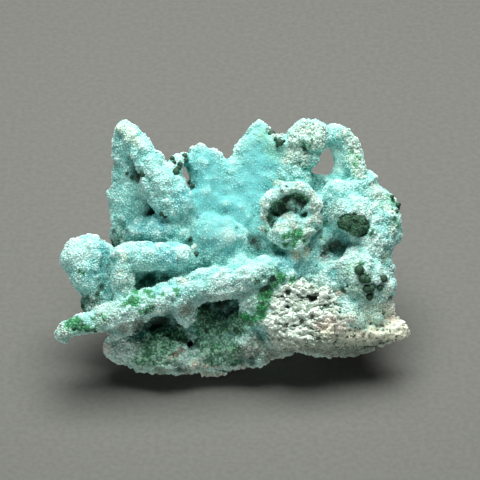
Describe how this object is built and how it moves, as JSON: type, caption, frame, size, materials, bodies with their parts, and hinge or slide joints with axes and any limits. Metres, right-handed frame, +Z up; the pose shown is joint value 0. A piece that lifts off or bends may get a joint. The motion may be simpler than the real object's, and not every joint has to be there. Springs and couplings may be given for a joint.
{
  "type": "chrysocolla with malachite",
  "caption": "Mineral specimen: drusy blue-green chrysocolla fingers, spires and an arch with dark malachite balls, grown on pale porous rock that is cut flat underneath.",
  "frame": {"origin": "on the floor plane that the flat underside rests on, under the middle of the specimen's box", "axes": "+X to the right along the longest side as the best side is seen, +Y away from the viewer, +Z up"},
  "size_m": [0.0703, 0.0421, 0.0436],
  "materials": {
    "porous_rock": "rough, porous, dull",
    "drusy_chrysocolla": "sugary quartz druse over blue-green chrysocolla, glittering",
    "malachite": "velvety, dark green"
  },
  "bodies": {
    "root": {"host_rock": "porous_rock", "chrysocolla_growth": "drusy_chrysocolla", "malachite_nodule": "malachite", "malachite_ball_top": "malachite", "malachite_ball_pair_upper": "malachite", "malachite_ball_pair_lower": "malachite", "malachite_ball_bottom": "malachite", "malachite_ball_right": "malachite", "malachite_ball_small": "malachite"}
  },
  "joints": []
}
